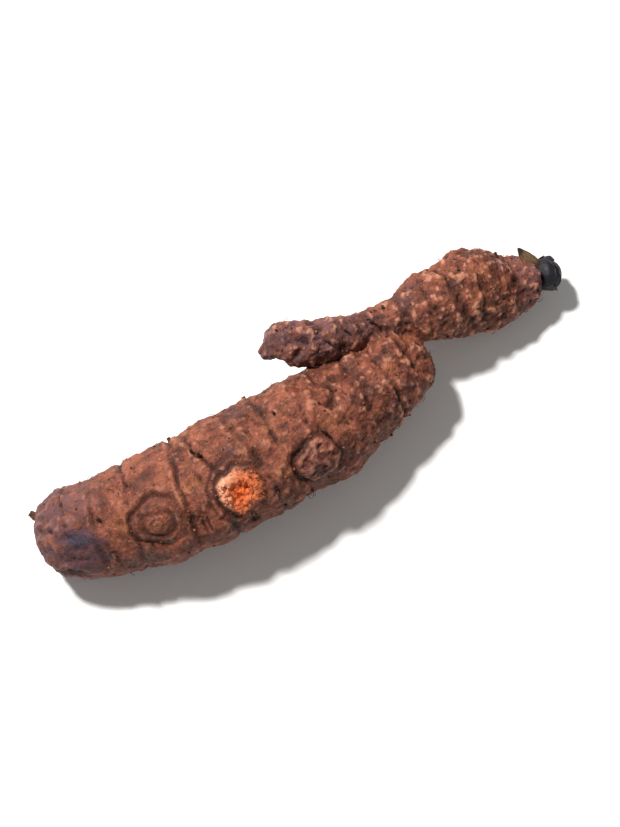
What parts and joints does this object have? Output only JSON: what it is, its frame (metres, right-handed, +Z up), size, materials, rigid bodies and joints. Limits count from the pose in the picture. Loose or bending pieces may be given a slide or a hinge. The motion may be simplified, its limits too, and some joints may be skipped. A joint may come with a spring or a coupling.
{
  "type": "fresh turmeric root",
  "caption": "Forked fresh turmeric rhizome: a thick ringed finger with round branch scars, a slim finger crossing its end, a dark end bud and a pointed shoot.",
  "frame": {"origin": "bottom centre of the root's box, on the surface that the root lies on", "axes": "+X along the thick finger towards the fork and the bud end, +Z up, away from the surface"},
  "size_m": [0.1184, 0.0354, 0.0231],
  "materials": {
    "skin": "dry, soil-dusted skin, rough",
    "bud": "dry dark scales, satin",
    "shoot": "dry fibrous scale, satin"
  },
  "bodies": {
    "root": {"rhizome": "skin", "end_bud": "bud", "shoot": "shoot"}
  },
  "joints": []
}
